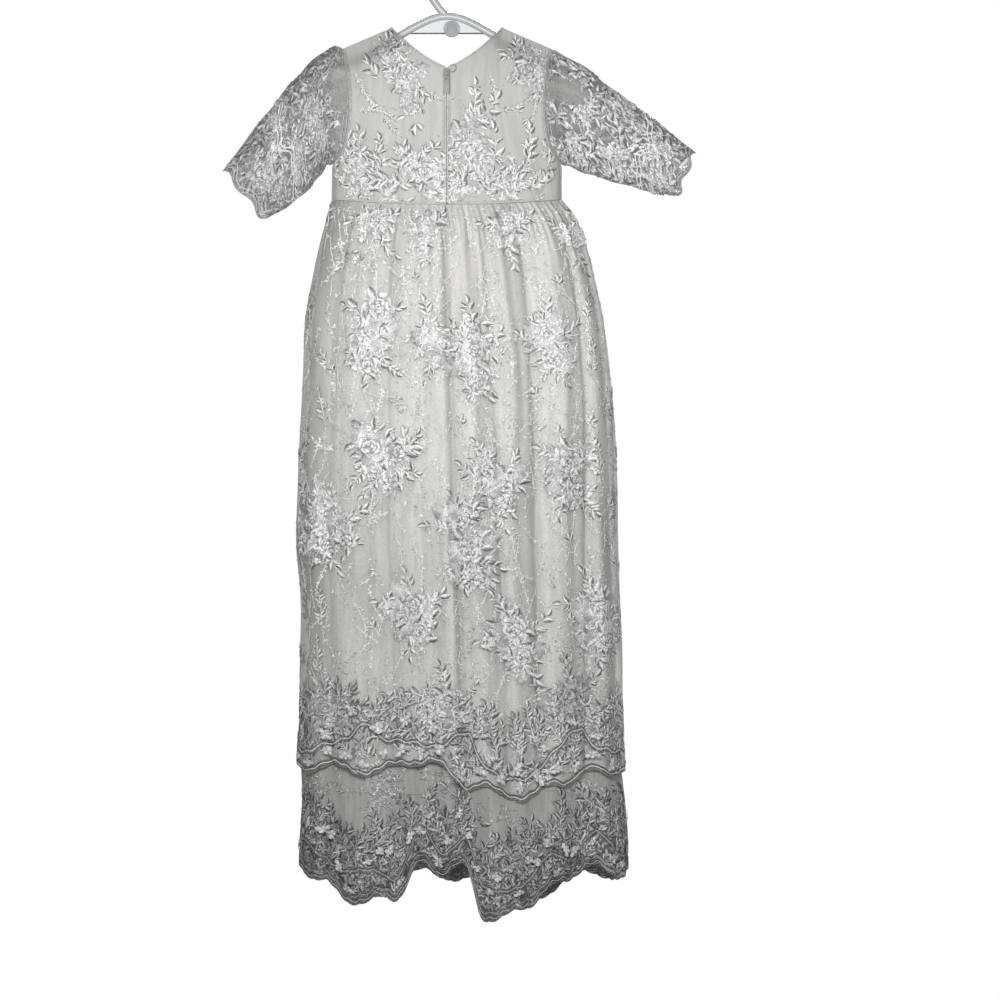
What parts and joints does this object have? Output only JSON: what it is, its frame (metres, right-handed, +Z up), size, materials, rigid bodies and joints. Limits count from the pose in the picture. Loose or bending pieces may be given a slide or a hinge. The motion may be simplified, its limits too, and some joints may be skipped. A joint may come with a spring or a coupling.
{
  "type": "christening gown on a hanger",
  "caption": "Long lace christening gown with elbow sleeves, gathered empire skirt, scalloped hem tiers and a back zip, hung on a child's hanger.",
  "frame": {"origin": "inside top of the hanger's hook, where a rail carries it", "axes": "+Z up along the hanging gown, -Y towards the viewer of the zipped back, +X to that viewer's right"},
  "size_m": [0.499, 0.1648, 1.0149],
  "materials": {
    "satin": "smooth satin weave",
    "lace": "fine tulle with satin-stitch embroidery",
    "plastic": "moulded, lightly glossy",
    "zip_metal": "white enamel"
  },
  "bodies": {
    "gown": {"hanger": "plastic", "bodice_lining_front": "satin", "bodice_lining_back_left": "satin", "bodice_lining_back_right": "satin", "skirt_lining_back": "satin", "skirt_lining_front": "satin", "bodice_lace_front": "lace", "bodice_lace_back_left": "lace", "bodice_lace_back_right": "lace", "sleeve_left": "lace", "sleeve_right": "lace", "skirt_lace_back": "lace", "skirt_lace_front": "lace", "flounce_back": "lace", "flounce_front": "lace", "zip_coil": "zip_metal", "zip_slider": "zip_metal"},
    "zip_pull": {"zip_pull": "zip_metal"}
  },
  "joints": [
    {"name": "zip_pull_swing", "type": "hinge", "parent": "gown", "child": "zip_pull", "pos_m": [0, -0.0327, -0.122], "axis": [-1, 0, 0], "range_deg": [0, 170]}
  ]
}
